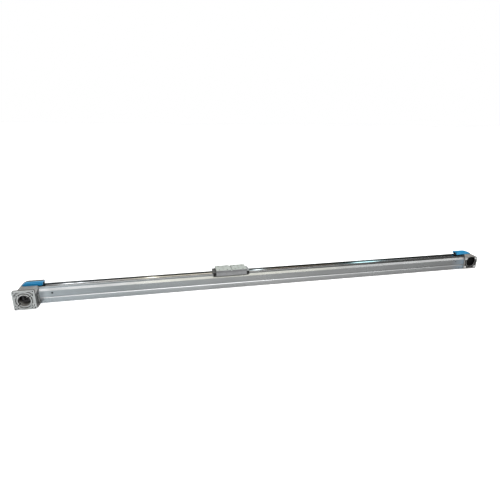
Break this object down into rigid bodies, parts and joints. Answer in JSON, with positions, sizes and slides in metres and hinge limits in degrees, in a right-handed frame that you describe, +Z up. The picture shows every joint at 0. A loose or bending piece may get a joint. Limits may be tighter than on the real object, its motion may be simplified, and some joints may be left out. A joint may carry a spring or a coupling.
{
  "type": "toothed belt linear axis",
  "caption": "Linear axis with an extruded slotted profile, steel cover strip, motor flange head, belt tensioning head and a belt-driven carriage on top.",
  "frame": {"origin": "on the profile's flat underside, at mid length and mid width of the profile", "axes": "+X along the profile from the drive head to the idler head, +Z up, -Y the motor flange side"},
  "size_m": [1.837, 0.0937, 0.0745],
  "materials": {
    "anodised_aluminium": "natural anodised, satin",
    "cast_aluminium": "die cast, blasted",
    "carriage_aluminium": "anodised, satin",
    "pulley_aluminium": "machined",
    "strip_steel": "rolled, polished",
    "screw_steel": "zinc plated",
    "hub_steel": "black oxide",
    "bearing_steel": "ground",
    "blue_plastic": "moulded, semi-gloss",
    "black_plastic": "moulded, matt",
    "cap_plastic": "moulded, satin",
    "guide_plastic": "moulded, smooth",
    "black_rubber": "matt",
    "belt_rubber": "matt"
  },
  "bodies": {
    "axis_frame": {"profile": "anodised_aluminium", "set_screws": "screw_steel", "cover_strip": "strip_steel", "strip_clamp_drive": "screw_steel", "strip_clamp_idler": "screw_steel", "strip_clamp_screws": "screw_steel", "drive_housing": "cast_aluminium", "drive_head_screws": "screw_steel", "drive_head_pins": "screw_steel", "idler_head_screws": "screw_steel", "idler_head_pins": "screw_steel", "drive_bearing_cover": "cast_aluminium", "bearing_cover_screws": "screw_steel", "drive_bearing_outer_rings": "bearing_steel", "drive_top_cover": "blue_plastic", "drive_bumper": "black_rubber", "idler_bumper": "black_rubber", "idler_housing": "cast_aluminium", "idler_face_screws": "screw_steel", "idler_bore_caps": "black_plastic", "idler_top_cover": "blue_plastic", "tension_screws": "screw_steel", "belt": "belt_rubber"},
    "carriage": {"carriage_body": "carriage_aluminium", "carriage_end_cap_left": "cap_plastic", "carriage_end_cap_right": "cap_plastic", "end_cap_screws": "screw_steel", "wiper_left": "black_rubber", "wiper_right": "black_rubber", "guide_pads": "guide_plastic", "belt_yoke": "screw_steel", "yoke_screws": "screw_steel", "belt_clamp_left": "screw_steel", "belt_clamp_right": "screw_steel", "belt_clamp_screws": "screw_steel"},
    "drive_rotor": {"drive_pulley": "pulley_aluminium", "drive_pulley_flanges": "screw_steel", "drive_shaft": "bearing_steel", "drive_bearing_inner_rings": "bearing_steel", "coupling_hub": "hub_steel", "coupling_screw": "screw_steel"},
    "tensioner": {"tension_yoke": "screw_steel", "idler_axle": "bearing_steel", "idler_bearing_inner_rings": "bearing_steel"},
    "idler_rotor": {"idler_pulley": "pulley_aluminium", "idler_pulley_flanges": "screw_steel", "idler_bearing_outer_rings": "bearing_steel"}
  },
  "joints": [
    {"name": "carriage_slide", "type": "slide", "parent": "axis_frame", "child": "carriage", "axis": [1, 0, 0], "range_m": [-0.583, 0.917], "deforming": ["belt"]},
    {"name": "drive_pulley_spin", "type": "hinge", "parent": "axis_frame", "child": "drive_rotor", "pos_m": [-0.8865, 0, 0.0325], "axis": [0, 1, 0], "range_deg": [-2624.5, 4127.5], "deforming": ["belt"]},
    {"name": "belt_tension_slide", "type": "slide", "parent": "axis_frame", "child": "tensioner", "axis": [1, 0, 0], "range_m": [-0.003, 0.003], "deforming": ["belt"]},
    {"name": "idler_pulley_spin", "type": "hinge", "parent": "tensioner", "child": "idler_rotor", "pos_m": [0.8835, 0, 0.0325], "axis": [0, 1, 0], "range_deg": [-2624.5, 4127.5], "deforming": ["belt"]}
  ],
  "couplings": [
    {"joint": "drive_pulley_spin", "follows": "carriage_slide", "rad_per_m": 78.54},
    {"joint": "idler_pulley_spin", "follows": "carriage_slide", "rad_per_m": 78.54}
  ]
}
